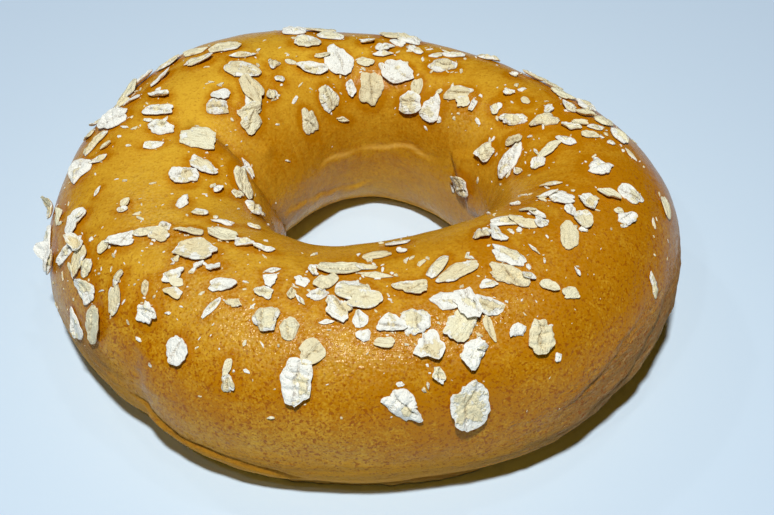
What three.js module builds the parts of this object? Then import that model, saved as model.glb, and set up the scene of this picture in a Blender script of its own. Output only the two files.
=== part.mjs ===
// An oat-topped bagel: millimetres, +Z up, standing on Z = 0.
//
// The bread is one ring, baked as one piece. Its plan is driven by three closed loops of
// sizes, each read at eight compass points: the outer radius, the radius of the hole and
// the height of the crown. The roll is thick at the front, thin at the back, and its hole
// is off centre, as on a ring joined by hand.
// On the glazed crown lie rolled-oat flakes. Each is a thin curved solid of its own, placed
// by its ring angle and its section angle, that lies a hair clear of the crust.
//
// Ring angle: degrees from +X towards +Y. Section angle: degrees round the roll, with 0 at
// the outer edge, 90 on the crown, 180 on the wall of the hole and 270 under the base.

import * as THREE from "three";
import { ParametricGeometry } from "three/addons/geometries/ParametricGeometry.js";

// ---- driving dimensions ----

const OUTER_RADIUS = [58.5, 50, 49.5, 59.5, 61.5, 56.5, 53, 55.5];
const HOLE_RADIUS = [22, 20.5, 22.5, 18.5, 20, 15.5, 11, 13.5];
const CROWN_HEIGHT = [35.5, 33.5, 33.5, 35.5, 32, 36, 36.5, 38];

const WIDEST_SHARE = 0.43; // height of the outer edge, as a share of the crown height
const CROWN_POWER = 2.15; // superellipse power of the section above the outer edge
const BASE_POWER = 2.5; // and below it, where the dough sagged on the tray
const BASE_SAG = 1.12; // over 1, so that the section is cut off flat at the tray

const PINCH = { ring: 226, halfWidth: 7, section: -8, halfHeight: 26, depth: 1.6 };

const BREAD_RING_STEPS = 80;
const BREAD_SECTION_STEPS = 30;

const FLAKE_GAP = 0.32; // clear of the crust, because the two are separate solids
const FLAKE_RIM_THICKNESS = 0.4;
const FLAKE_HEART_THICKNESS = 0.75;
const FLAKE_DRAPE = 0.65; // 0 is flat as a board, 1 follows the crust all over
const FLAKE_RIM_POINTS = 10;
const FLAKE_INNER_RING = 0.6; // where the inner ring of points lies, from centre to rim

// Ring angle, section angle, turn of the long axis from +X, length, width and outline.
const FLAKES = [
  [182, 105, 85, 5.6, 5.0, "split"],
  [184, 17, 100, 5.6, 3.6, "slab"],
  [190, 17, 45, 5.0, 4.6, "whole"],
  [192, 142, 110, 5.0, 4.2, "split"],
  [194, 38, 30, 7.4, 3.0, "whole"],
  [199, 42, 70, 5.4, 4.0, "whole"],
  [202, 68, 10, 6.0, 4.4, "chunk"],
  [206, 36, 100, 5.0, 4.3, "chunk"],
  [211, 23, 60, 7.0, 6.0, "whole"],
  [213, 44, 80, 5.6, 3.3, "whole"],
  [216, 103, 155, 6.6, 3.8, "whole"],
  [217, 87, 160, 8.6, 5.4, "whole"],
  [221, 47, 150, 4.8, 4.4, "chunk"],
  [231, 39, 75, 5.3, 4.6, "split"],
  [246, 68, 110, 5.2, 4.6, "split"],
  [256, 40, 80, 9.4, 5.4, "slab"],
  [260, 100, 0, 7.6, 3.9, "whole"],
  [263, 76, 130, 6.3, 4.4, "chunk"],
  [277, 29, 145, 8.0, 5.2, "chunk"],
  [281, 68, 80, 6.0, 5.4, "split"],
  [283, 86, 175, 6.0, 3.4, "wedge"],
  [289, 24, 70, 10.0, 7.4, "wedge"],
  [291, 63, 50, 7.0, 5.6, "wedge"],
  [297, 88, 30, 7.8, 3.6, "whole"],
  [306, 46, 90, 6.4, 5.0, "split"],
  [308, 77, 150, 7.2, 4.7, "whole"],
  [329, 79, 85, 6.3, 3.6, "whole"],
  [343, 97, 130, 5.2, 4.3, "whole"],
  [343, 84, 120, 5.3, 4.2, "chunk"],
  [351, 66, 150, 5.6, 3.9, "split"],
  [358, 85, 120, 6.0, 5.0, "wedge"],
  [14, 132, 60, 7.2, 4.8, "whole"],
  [21, 98, 15, 7.4, 4.0, "chunk"],
  [24, 64, 5, 4.4, 4.0, "slab"],
  [28, 111, 165, 5.6, 3.2, "curl"],
  [31, 167, 15, 6.0, 4.6, "slab"],
  [41, 61, 170, 5.5, 3.6, "whole"],
  [54, 113, 175, 6.0, 3.1, "whole"],
  [62, 131, 60, 5.6, 4.8, "wedge"],
  [65, 96, 170, 6.0, 3.9, "whole"],
  [84, 68, 0, 5.5, 4.0, "whole"],
  [90, 127, 90, 8.0, 5.6, "split"],
  [102, 104, 125, 8.0, 5.4, "split"],
  [104, 67, 8, 7.0, 5.0, "whole"],
  [109, 132, 110, 5.6, 4.3, "whole"],
  [110, 88, 0, 6.0, 3.4, "whole"],
  [122, 142, 115, 5.5, 4.0, "whole"],
  [131, 76, 20, 6.5, 3.6, "whole"],
  [134, 97, 170, 7.0, 5.0, "whole"],
  [139, 76, 10, 6.0, 3.2, "chunk"],
  [140, 115, 110, 5.6, 3.6, "whole"],
  [147, 48, 30, 7.0, 4.0, "slab"],
  [150, 105, 0, 5.2, 3.4, "slab"],
  [158, 81, 175, 7.0, 2.8, "slab"],
  [161, 58, 10, 7.0, 5.0, "split"],
  [163, 88, 165, 5.5, 3.8, "wedge"],
  [165, 108, 160, 7.6, 5.6, "whole"],
  [174, 49, 65, 6.4, 4.4, "split"],
  [178, 134, 120, 7.4, 4.0, "whole"],
];

const crust = new THREE.MeshStandardMaterial({
  name: "crust",
  color: 0xb4882c,
  roughness: 0.35,
  metalness: 0,
});
const oat = new THREE.MeshStandardMaterial({
  name: "oat",
  color: 0xd8cdb0,
  roughness: 0.85,
  metalness: 0,
});

// ---- the crust as a formula ----

const FULL_TURN = 360;
const radians = THREE.MathUtils.degToRad;
const wrap = (degrees) => THREE.MathUtils.euclideanModulo(degrees, FULL_TURN);
const signedPower = (x, power) => Math.sign(x) * Math.abs(x) ** power;
const bell = (x, halfWidth) => Math.exp(-((x / halfWidth) ** 2));

// The value of a closed loop of evenly spaced sizes at an angle, on a smooth curve.
function around(sizes, degrees) {
  const count = sizes.length;
  const place = (wrap(degrees) * count) / FULL_TURN;
  const first = Math.floor(place);
  const t = place - first;
  const at = (offset) => sizes[(first + offset + count) % count];
  const [before, from, to, after] = [at(-1), at(0), at(1), at(2)];
  return (
    from +
    0.5 * t * (to - before) +
    0.5 * t ** 2 * (2 * before - 5 * from + 4 * to - after) +
    0.5 * t ** 3 * (3 * (from - to) + after - before)
  );
}

// The shortest signed angle from one direction to another, in degrees.
function angleBetween(from, to) {
  return wrap(to - from + FULL_TURN / 2) - FULL_TURN / 2;
}

// The fold at the front left, where the dough was pinched against the tray.
function pinchDepth(ring, section) {
  const along = bell(angleBetween(PINCH.ring, ring), PINCH.halfWidth);
  const up = bell(angleBetween(PINCH.section, section), PINCH.halfHeight);
  return PINCH.depth * along * up;
}

function crustPoint(ring, section) {
  const outer = around(OUTER_RADIUS, ring);
  const hole = around(HOLE_RADIUS, ring);
  const crown = around(CROWN_HEIGHT, ring);
  const edge = WIDEST_SHARE * crown;

  const across = Math.cos(radians(wrap(section)));
  const upward = Math.sin(radians(wrap(section)));
  const power = 2 / (upward >= 0 ? CROWN_POWER : BASE_POWER);
  const half = (outer - hole) / 2 - pinchDepth(ring, section);
  const radius = (outer + hole) / 2 + half * signedPower(across, power);

  const rise = Math.abs(upward) ** power;
  const above = edge + (crown - edge) * rise;
  const below = Math.max(0, edge * (1 - BASE_SAG * rise));
  return new THREE.Vector3(
    radius * Math.cos(radians(wrap(ring))),
    radius * Math.sin(radians(wrap(ring))),
    upward >= 0 ? above : below,
  );
}

// How the crust point moves for one degree of ring angle and of section angle.
function crustSteps(ring, section) {
  const half = 0.5;
  return {
    alongRing: crustPoint(ring + half, section).sub(crustPoint(ring - half, section)),
    roundRoll: crustPoint(ring, section + half).sub(crustPoint(ring, section - half)),
  };
}

function crustNormal(ring, section) {
  const { alongRing, roundRoll } = crustSteps(ring, section);
  return alongRing.cross(roundRoll).normalize();
}

// ---- the bread ----

function breadGeometry() {
  return new ParametricGeometry(
    (u, v, target) => target.copy(crustPoint(u * FULL_TURN, v * FULL_TURN)),
    BREAD_RING_STEPS,
    BREAD_SECTION_STEPS,
  );
}

// ---- the oat flakes ----

// Each outline gives the rim's distance from the centre at an angle, as a share of the
// half length and half width.
const OUTLINES = {
  whole: (a, grain) => 1 + 0.05 * Math.cos(2 * a) + 0.04 * Math.sin(3 * a + grain),
  split: (a, grain) => 1.03 - 0.3 * bell(Math.sin(a / 2), 0.3) + 0.05 * Math.sin(5 * a + grain),
  wedge: (a, grain) => 0.98 + 0.13 * Math.cos(3 * a) + 0.06 * Math.sin(4 * a + grain),
  chunk: (a, grain) => 0.98 + 0.1 * Math.sin(3 * a + grain) + 0.07 * Math.sin(5 * a + 2 * grain),
  slab: (a, grain) => 1.06 - 0.14 * Math.cos(4 * a) + 0.03 * Math.sin(3 * a + grain),
  curl: (a, grain) => 0.98 - 0.26 * bell(Math.cos((a - 1.57) / 2) - 1, 0.2) + 0.04 * Math.sin(grain),
};

// The flake's own frame where it lies: its long axis, its cross axis, and the crust's
// steps that turn a place on the flake into ring and section angles.
function flakeFrame(ring, section, turn) {
  const { alongRing, roundRoll } = crustSteps(ring, section);
  const normal = crustNormal(ring, section);
  const east = new THREE.Vector3(1, 0, 0).addScaledVector(normal, -normal.x).normalize();
  const long = east.applyAxisAngle(normal, radians(turn));
  const cross = new THREE.Vector3().crossVectors(normal, long);
  return { ring, section, alongRing, roundRoll, normal, long, cross };
}

// A point of the flake, x along it and y across it, at a height over the crust. It is part
// way between the flat plane of the flake and the crust below.
function flakePoint(frame, x, y, height) {
  const reach = frame.long.clone().multiplyScalar(x).addScaledVector(frame.cross, y);
  const { alongRing, roundRoll, normal } = frame;
  const area = alongRing.clone().cross(roundRoll).dot(normal);
  const ring = frame.ring + reach.clone().cross(roundRoll).dot(normal) / area;
  const section = frame.section + alongRing.clone().cross(reach).dot(normal) / area;

  const draped = crustPoint(ring, section);
  draped.addScaledVector(crustNormal(ring, section), height);
  const flat = crustPoint(frame.ring, frame.section).add(reach);
  flat.addScaledVector(normal, height);
  return flat.lerp(draped, FLAKE_DRAPE);
}

// A thin closed lens: a top and an underside of three rings of points each.
function flakeGeometry([ring, section, turn, length, width, outline], grain) {
  const frame = flakeFrame(ring, section, turn);
  const rimPoints = Array.from({ length: FLAKE_RIM_POINTS }, (_, i) => {
    const angle = (2 * Math.PI * i) / FLAKE_RIM_POINTS;
    const size = OUTLINES[outline](angle, grain);
    return [0.5 * length * size * Math.cos(angle), 0.5 * width * size * Math.sin(angle)];
  });
  const rimBase = FLAKE_GAP + 0.5 * (FLAKE_HEART_THICKNESS - FLAKE_RIM_THICKNESS);
  const innerBase = FLAKE_GAP;
  const rimTop = rimBase + FLAKE_RIM_THICKNESS;
  const innerTop = FLAKE_GAP + FLAKE_HEART_THICKNESS;

  const points = [];
  const ringOf = (share, height) => {
    const first = points.length;
    rimPoints.forEach(([x, y]) =>
      points.push(flakePoint(frame, share * x, share * y, height)),
    );
    return first;
  };
  const centreOf = (height) => points.push(flakePoint(frame, 0, 0, height)) - 1;

  const faces = [];
  const next = (i) => (i + 1) % FLAKE_RIM_POINTS;
  const eachSide = (draw) => rimPoints.forEach((_, i) => draw(i, next(i)));
  const fan = (centre, first) =>
    eachSide((i, j) => faces.push(centre, first + i, first + j));
  const band = (inner, outer) =>
    eachSide((i, j) =>
      faces.push(inner + i, outer + i, outer + j, inner + i, outer + j, inner + j),
    );

  const topCentre = centreOf(innerTop);
  const topInner = ringOf(FLAKE_INNER_RING, innerTop);
  const topRim = ringOf(1, rimTop);
  const baseRim = ringOf(1, rimBase);
  const baseInner = ringOf(FLAKE_INNER_RING, innerBase);
  const baseCentre = centreOf(innerBase);
  fan(topCentre, topInner);
  band(topInner, topRim);
  band(topRim, baseRim);
  band(baseRim, baseInner);
  eachSide((i, j) => faces.push(baseCentre, baseInner + j, baseInner + i));

  const geometry = new THREE.BufferGeometry().setFromPoints(points);
  geometry.setIndex(faces);
  geometry.computeVertexNormals();
  return geometry;
}

// ---- assembly ----

function named(name, geometry, material) {
  const mesh = new THREE.Mesh(geometry, material);
  mesh.name = name;
  return mesh;
}

const bagel = new THREE.Group();
bagel.name = "bagel";
bagel.add(named("bread", breadGeometry(), crust));
FLAKES.forEach((flake, i) => {
  const number = String(i + 1).padStart(2, "0");
  bagel.add(named(`oat_flake_${number}`, flakeGeometry(flake, i), oat));
});

// The origin is on the table, under the middle of the whole bagel.
const box = new THREE.Box3().setFromObject(bagel);
const middle = box.getCenter(new THREE.Vector3());
bagel.position.set(-middle.x, -middle.y, -box.min.z);

export default bagel;
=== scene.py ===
"""An oat-topped bagel, dressed round its construction model, in metres, +Z up, standing on Z = 0.

The bread is one baked ring. Its plan and its section are measured on the construction node
``bread``, and the lumps, laps, wrinkles and the ragged foot of the real crust are added to
them. The large rolled-oat flakes lie where the construction flakes lie. Smaller flakes and
crumbs, listed or sown here, lie on the crust and on each other.

Shapes are worked out in millimetres and written to Blender in metres. A place on the crust is
a ring angle, in degrees from +X towards +Y, and a section angle, in degrees round the roll:
0 at the outer edge, 90 on the crown, 180 on the wall of the hole and 270 under the base.
"""

import logging
import math
from collections.abc import Callable, Iterable, Sequence
from dataclasses import dataclass, field
from enum import Enum

import bpy
import numpy as np
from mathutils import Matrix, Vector, noise
from mathutils.bvhtree import BVHTree


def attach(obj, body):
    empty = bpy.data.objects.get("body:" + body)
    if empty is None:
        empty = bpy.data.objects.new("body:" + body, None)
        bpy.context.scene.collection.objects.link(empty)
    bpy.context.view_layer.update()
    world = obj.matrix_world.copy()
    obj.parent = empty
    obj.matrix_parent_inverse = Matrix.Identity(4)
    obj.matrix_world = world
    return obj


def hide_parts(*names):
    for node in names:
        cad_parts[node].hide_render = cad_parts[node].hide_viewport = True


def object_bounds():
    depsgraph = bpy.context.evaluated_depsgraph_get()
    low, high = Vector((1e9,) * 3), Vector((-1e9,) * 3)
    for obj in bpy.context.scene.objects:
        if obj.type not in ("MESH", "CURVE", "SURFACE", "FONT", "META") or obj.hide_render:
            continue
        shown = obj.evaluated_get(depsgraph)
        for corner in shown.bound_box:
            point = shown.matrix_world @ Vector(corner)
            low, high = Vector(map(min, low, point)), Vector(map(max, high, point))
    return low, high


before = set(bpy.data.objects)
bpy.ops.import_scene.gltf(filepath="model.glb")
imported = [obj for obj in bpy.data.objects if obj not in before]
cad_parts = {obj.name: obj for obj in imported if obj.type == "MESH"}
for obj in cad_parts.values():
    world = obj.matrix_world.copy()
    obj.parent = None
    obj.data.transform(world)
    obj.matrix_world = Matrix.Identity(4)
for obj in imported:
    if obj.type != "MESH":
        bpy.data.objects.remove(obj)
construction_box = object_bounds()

log = logging.getLogger("bagel")

MM = 0.001
FULL_TURN = 360.0
HALF_TURN = 180.0
BODY = "root"
BREAD_NODE = "bread"
FLAKE_NODE = "oat_flake_"

Colour = tuple[float, float, float]
FlakeRow = tuple[int, int, int, float, float, str]


# ---- small sums ----


def wrapped(degrees: np.ndarray) -> np.ndarray:
    """Angles brought between -180 and 180 degrees."""
    return (np.asarray(degrees, float) + HALF_TURN) % FULL_TURN - HALF_TURN


def bell(distance: np.ndarray, width: float) -> np.ndarray:
    """1 at no distance, falling smoothly to nothing past the width."""
    return np.exp(-((distance / width) ** 2))


def ramp(value: np.ndarray, low: float, high: float) -> np.ndarray:
    """0 below low, 1 above high and a smooth rise between them."""
    t = np.clip((value - low) / (high - low), 0.0, 1.0)
    return t * t * (3.0 - 2.0 * t)


def unit(vectors: np.ndarray) -> np.ndarray:
    """Vectors brought to length 1."""
    return vectors / np.maximum(np.linalg.norm(vectors, axis=-1, keepdims=True), 1e-9)


def lumps(points: np.ndarray, size: float, seed: float = 0.0) -> np.ndarray:
    """Smooth noise in space.

    Args:
        points: the places, one row each, in millimetres.
        size: how wide one lump is, in millimetres.
        seed: a shift that gives another field of lumps.

    Returns:
        A value for each place, mostly between -1 and 1.
    """
    places = points / size + seed
    return np.array([noise.noise(Vector(p)) for p in places])


def points_of(piece: bpy.types.Object) -> np.ndarray:
    """The vertices of a mesh object, in millimetres."""
    flat = np.empty(len(piece.data.vertices) * 3)
    piece.data.vertices.foreach_get("co", flat)
    return flat.reshape(-1, 3) / MM


def move_points(piece: bpy.types.Object, points: np.ndarray) -> None:
    """Puts the vertices of a mesh object at places given in millimetres."""
    piece.data.vertices.foreach_set("co", (points * MM).ravel())
    piece.data.update()


def keep_value(piece: bpy.types.Object, name: str, values: np.ndarray) -> None:
    """Stores one number, or one vector, for each vertex under a name that a finish reads."""
    kind, key = ("FLOAT", "value") if values.ndim == 1 else ("FLOAT_VECTOR", "vector")
    stored = piece.data.attributes.new(name, kind, "POINT")
    stored.data.foreach_set(key, values.astype(np.float32).ravel())


def nothing_selected() -> None:
    """Deselects every object."""
    bpy.ops.object.select_all(action="DESELECT")


# ---- the roll: plan and section of the ring ----


@dataclass(frozen=True)
class Fold:
    """A line on the crust where one lap of dough lies over another.

    Attributes:
        line: (ring, section) places that the line runs through, in degrees.
        step: how much higher its left side stands, as seen walking along it, in millimetres,
            or its right side where it is below 0.
        groove: how deep the line itself is cut.
        soft: how far the raised side's rounded edge goes back from the line.
        reach: how far back the raised side blends into the roll.
        colour: how much of the fold's line is drawn, pale above 0 and dark below 0; the dark line is
            painted shade, and the pale line of the lip of the hole is a painted highlight.
        stray: how far the line wanders from its places.
        band: how far behind the line the raised edge is drawn darker, as painted shade where the lap
            rolls away from the light.
    """

    line: tuple[tuple[float, float], ...]
    step: float
    groove: float
    soft: float
    reach: float
    colour: float = 0.0
    stray: float = 0.5
    band: float = 0.0


@dataclass(frozen=True)
class Patch:
    """A soft oval area of the crust, in degrees of ring and section angle.

    Attributes:
        ring, section: its middle.
        half_ring, half_section: how far it reaches each way before it fades.
        strength: its value in the middle.
    """

    ring: float
    half_ring: float
    section: float
    half_section: float
    strength: float

    def over(self, ring: np.ndarray, section: np.ndarray) -> np.ndarray:
        """How strongly each place on the crust lies in the patch."""
        along = bell(wrapped(ring - self.ring), self.half_ring)
        return self.strength * along * bell(wrapped(section - self.section), self.half_section)


def spread(patches: Iterable[Patch], ring: np.ndarray, section: np.ndarray) -> np.ndarray:
    """The sum of several patches, between 0 and 1."""
    total = sum(patch.over(ring, section) for patch in patches)
    return np.clip(total, 0.0, 1.0)


@dataclass
class Roll:
    """The ring of dough as a formula, measured on the construction bread.

    Attributes:
        axis: where the ring angles turn about, in millimetres.
        stations: how many slices the construction bread has round the ring.
        edge_share: height of the outer edge, as a share of the crown's height.
        crown_power: superellipse power of the section above the outer edge.
        base_power: superellipse power below it.
        base_sag: over 1, so that the section is cut off flat at the tray.
        swell: how far the fine crust stands out from the construction bread.
        foot_section: the section angle where the thin foot on the tray begins.
        tray_section: the section angle where the roll meets the tray.
        foot_start, foot_end: the ring angles between which the foot spreads.
        faint_foot: the ring angle of a fainter stretch of it.
        outer, hole, crown: the outer radius, the radius of the hole and the height of the
            crown at each station.
    """

    axis: tuple[float, float] = (1.61, 1.23)
    stations: int = 80
    edge_share: float = 0.43
    crown_power: float = 2.15
    base_power: float = 2.5
    base_sag: float = 1.12
    swell: float = 0.25
    foot_section: float = -49.0
    tray_section: float = -60.2
    foot_start: float = 217.0
    foot_end: float = 312.0
    faint_foot: float = 330.0
    outer: np.ndarray = field(init=False)
    hole: np.ndarray = field(init=False)
    crown: np.ndarray = field(init=False)

    def __post_init__(self) -> None:
        """Reads the outer radius, the hole and the crown from the slices of the node."""
        places = points_of(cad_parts[BREAD_NODE])
        flat = places[:, :2] - self.axis
        radius = np.hypot(*flat.T)
        turn = np.degrees(np.arctan2(flat[:, 1], flat[:, 0]))
        slice_of = np.round(turn * self.stations / FULL_TURN).astype(int) % self.stations
        each = [slice_of == i for i in range(self.stations)]
        self.outer = np.array([radius[at].max() for at in each])
        self.hole = np.array([radius[at].min() for at in each])
        self.crown = np.array([places[at, 2].max() for at in each])

    def around(self, sizes: np.ndarray, ring: np.ndarray) -> np.ndarray:
        """The value of a closed loop of sizes at each ring angle, on a smooth curve."""
        place = (np.asarray(ring, float) % FULL_TURN) * self.stations / FULL_TURN
        first = np.floor(place).astype(int)
        t = place - first
        before, start, end, after = (sizes[(first + i) % self.stations] for i in (-1, 0, 1, 2))
        bend = 2 * before - 5 * start + 4 * end - after
        twist = 3 * (start - end) + after - before
        return start + 0.5 * t * (end - before) + 0.5 * t**2 * bend + 0.5 * t**3 * twist

    def foot(self, ring: np.ndarray) -> np.ndarray:
        """How much the base spreads on the tray as a thin foot, from 0 to 1, round the ring."""
        past_start, before_end = wrapped(ring - self.foot_start), -wrapped(ring - self.foot_end)
        front = ramp(past_start, 0.0, 12.0) * ramp(before_end, 0.0, 25.0)
        return np.clip(front + 0.35 * bell(wrapped(ring - self.faint_foot), 30.0), 0.0, 1.0)

    def point(self, ring: np.ndarray, section: np.ndarray) -> np.ndarray:
        """Places on the smooth crust, in millimetres.

        Args:
            ring: ring angles in degrees.
            section: section angles in degrees.

        Returns:
            One row of x, y and z for each pair of angles.
        """
        ring, section = np.broadcast_arrays(np.asarray(ring, float), np.asarray(section, float))
        outer, hole, crown = (self.around(s, ring) for s in (self.outer, self.hole, self.crown))
        edge = self.edge_share * crown
        middle, half = (outer + hole) / 2, (outer - hole) / 2 + self.swell
        across, upward = np.cos(np.radians(section)), np.sin(np.radians(section))
        power = 2 / np.where(upward >= 0, self.crown_power, self.base_power)
        rise = np.abs(upward) ** power
        above = edge + (crown + self.swell - edge) * rise
        below = np.maximum(0.0, edge * (1 - self.base_sag * rise))
        height = np.where(upward >= 0, above, below)
        radius = middle + half * np.sign(across) * np.abs(across) ** power

        held = middle + half * math.cos(math.radians(self.foot_section)) ** (2 / self.base_power)
        low = wrapped(section)
        on_tray = (low + 90.0) / (90.0 + self.tray_section)
        foot = np.where(low > self.tray_section, held, middle + (held - middle) * on_tray)
        is_foot = (low < self.foot_section) & (low > -90.0)
        radius = np.where(is_foot, radius + (foot - radius) * self.foot(ring), radius)
        turn = np.radians(ring)
        x = self.axis[0] + radius * np.cos(turn)
        y = self.axis[1] + radius * np.sin(turn)
        return np.stack([x, y, height], -1)

    def steps(self, ring: np.ndarray, section: np.ndarray) -> tuple[np.ndarray, np.ndarray]:
        """How the crust point moves for a degree of ring angle and of section angle."""
        half = 0.5
        along = self.point(ring + half, section) - self.point(ring - half, section)
        round_roll = self.point(ring, section + half) - self.point(ring, section - half)
        return along, round_roll

    def normal(self, ring: np.ndarray, section: np.ndarray) -> np.ndarray:
        """The outward direction of the smooth crust."""
        along, round_roll = self.steps(ring, section)
        return unit(np.cross(along, round_roll))


# ---- the baked ring ----


@dataclass
class BakedRing:
    """The bread: one ring of dough, proved, glazed and baked on a tray.

    Attributes:
        roll: the smooth ring that its crust follows.
        ring_steps: vertices round the ring.
        section_steps: vertices round the roll.
        folds: the laps and creases of its skin.
        deep, light: where the crust is drawn darker, or lighter, than the rest; along the seam and in
            the hollow above the lip of the hole the darkening is painted shade.
        tan: where it is matt and pale, next to the tray.
        dry: where the skin is greyish, dry and wrinkled.
        freckled: where small brown spots are close together.
        sparkling: where the glaze dried in fine ripples, and where a painted sheen pales the crust
            round the glints.
        bump, bump_width: the (ring, section) place of a small bump, and its width in millimetres.
        ragged_section: the section angle of the foot's ragged rim.
        piece: the finished mesh object.
    """

    roll: Roll
    ring_steps: int = 400
    section_steps: int = 248
    folds: tuple[Fold, ...] = (
        # The seam left of the hole, where one end of the roll lies over the other. Its dark line and
        # the darker band beside it are painted shade.
        Fold(((148, 202), (158, 184), (165, 167), (166.5, 145), (163, 131), (160.5, 116), (158, 92)),
             step=2.6, groove=0.6, soft=4.2, reach=13.0, colour=-1.0, stray=0.2, band=2.6),
        # The lip at the back of the hole, and the wrinkle below it. The lip's pale line is a painted
        # highlight on its upper edge.
        Fold(((124, 174), (112, 169.5), (104, 168), (95, 167.5), (83, 166), (72, 164), (60, 162),
              (50, 163.5)),
             step=-0.3, groove=0.1, soft=0.6, reach=5.0, colour=0.45, stray=1.5),
        Fold(((155, 181), (148, 181.5), (122, 188), (105, 195.5), (88, 192)),
             step=-0.35, groove=0.12, soft=1.5, reach=4.0, colour=-0.1, stray=1.2),
        # The seam right of the hole.
        Fold(((46, 150), (41, 160), (37, 166), (30, 175), (24, 184)),
             step=0.8, groove=0.25, soft=2.5, reach=8.0, colour=-0.35),
        # The fold at the front left, then the ledge near the tray and the line below it.
        Fold(((221, 34), (223.5, 15), (224, 6), (225.5, -5), (221, -22)),
             step=1.1, groove=0.05, soft=6.0, reach=9.0, colour=-0.1, stray=0.3),
        Fold(((219, -3), (225.5, -6), (232.5, -12.5), (240, -14), (247.5, -17), (253, -22), (260, -31)),
             step=-0.35, groove=0.65, soft=0.6, reach=3.0, colour=-0.9, stray=0.3),
        Fold(((222, -14), (233.5, -22), (246, -31), (256, -38)),
             step=0.4, groove=0.25, soft=0.7, reach=3.0, colour=0.8, stray=0.8),
        # The wrinkles of the dry skin at the front right.
        Fold(((300, -22), (312, -13), (318, -7), (326, -3), (332, 6), (340, 12)),
             step=0.5, groove=0.35, soft=1.0, reach=4.0, colour=0.35, stray=0.8),
        Fold(((298, -34), (312, -27), (326, -16), (338, -6), (350, 0)),
             step=0.5, groove=0.35, soft=1.0, reach=4.0, colour=0.35, stray=0.8),
        Fold(((306, 1), (316, 9), (323, 16), (333, 23)),
             step=0.3, groove=0.15, soft=1.2, reach=4.0, stray=0.8),
        Fold(((318, -20), (330, -9), (342, 2), (356, 8)),
             step=0.35, groove=0.25, soft=0.9, reach=3.0, colour=0.25, stray=0.8),
    )
    # The patches at ring 169 and 166, along the seam, and at ring 90, above the lip of the hole, are
    # painted shade.
    deep: tuple[Patch, ...] = (
        Patch(345, 55, 62, 42, 1.0), Patch(350, 40, 22, 24, 0.5), Patch(90, 90, 155, 26, 0.6),
        Patch(312, 38, 12, 34, 0.9), Patch(270, 45, 28, 22, 0.55), Patch(225, 28, 25, 30, 0.5),
        Patch(169, 5, 150, 24, 0.8), Patch(166, 5, 122, 14, 0.7), Patch(140, 12, 128, 16, 0.5),
        Patch(240, 14, -22, 6, 1.0),
    )
    light: tuple[Patch, ...] = (
        Patch(175, 50, 92, 34, 0.65), Patch(105, 50, 100, 30, 0.6),
    )
    tan: tuple[Patch, ...] = (
        Patch(268, 70, -20, 20, 0.9), Patch(70, 60, 224, 14, 0.5), Patch(0, 60, -30, 22, 0.35),
        Patch(110, 80, -26, 22, 0.9), Patch(290, 80, 208, 24, 0.8), Patch(0, 900, -90, 42, 1.0),
        Patch(215, 9, 6, 16, 0.5), Patch(170, 30, -20, 20, 0.7),
    )
    dry: tuple[Patch, ...] = (
        Patch(332, 24, -3, 17, 1.0), Patch(306, 26, -20, 14, 0.45), Patch(358, 26, 8, 15, 0.25),
        Patch(211, 9, 2, 13, 0.6), Patch(250, 22, -12, 7, 0.35),
    )
    freckled: tuple[Patch, ...] = (
        Patch(240, 32, 26, 30, 1.0), Patch(275, 30, 12, 22, 0.6), Patch(205, 20, 30, 25, 0.6),
        Patch(320, 50, 40, 40, 0.5), Patch(350, 38, 22, 26, 0.8), Patch(308, 32, 8, 24, 0.8),
    )
    sparkling: tuple[Patch, ...] = (
        Patch(257, 26, 58, 18, 1.0), Patch(292, 18, 62, 16, 0.9), Patch(230, 14, 67, 14, 0.9),
        Patch(45, 10, 127, 12, 0.9), Patch(196, 16, 84, 13, 0.9), Patch(156, 7, 122, 14, 0.5),
        Patch(240, 40, 88, 14, 0.5), Patch(320, 30, 80, 20, 0.3),
    )
    bump: tuple[float, float] = (150.0, 141.0)
    bump_width: float = 1.3
    ragged_section: float = -57.0
    piece: bpy.types.Object = field(init=False, repr=False)

    def build(self) -> bpy.types.Object:
        """Adds a torus, moves its vertices to the crust and stores what the finish reads.

        Returns:
            The piece, with its place in its mesh.
        """
        nothing_selected()
        middle = float((self.roll.outer + self.roll.hole).mean()) / 2
        half = float((self.roll.outer - self.roll.hole).mean()) / 2
        bpy.ops.mesh.primitive_torus_add(
            major_segments=self.ring_steps, minor_segments=self.section_steps,
            major_radius=middle * MM, minor_radius=half * MM,
        )
        self.piece = bpy.context.object
        self.piece.name = self.piece.data.name = "baked_ring"
        start = points_of(self.piece)
        ring = np.degrees(np.arctan2(start[:, 1], start[:, 0]))
        around_roll = np.degrees(np.arctan2(start[:, 2], np.hypot(*start[:, :2].T) - middle))
        # The flat base needs fewer rows than the sides, so the rows are spread unevenly.
        section = np.interp(around_roll % FULL_TURN, (0, 255, 285, 360), (0, 241, 299, 360))
        move_points(self.piece, self.crust(ring, wrapped(section)))
        nothing_selected()
        self.piece.select_set(True)
        bpy.ops.object.shade_smooth()
        return self.piece

    def crust(self, ring: np.ndarray, section: np.ndarray) -> np.ndarray:
        """The finished crust's places, in millimetres, for each pair of angles."""
        smooth = self.roll.point(ring, section)
        outward = self.roll.normal(ring, section)
        free = ramp(smooth[:, 2], 0.0, 2.0)  # the base stays flat on the tray
        swirl = self.swirl(ring, section)

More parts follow.
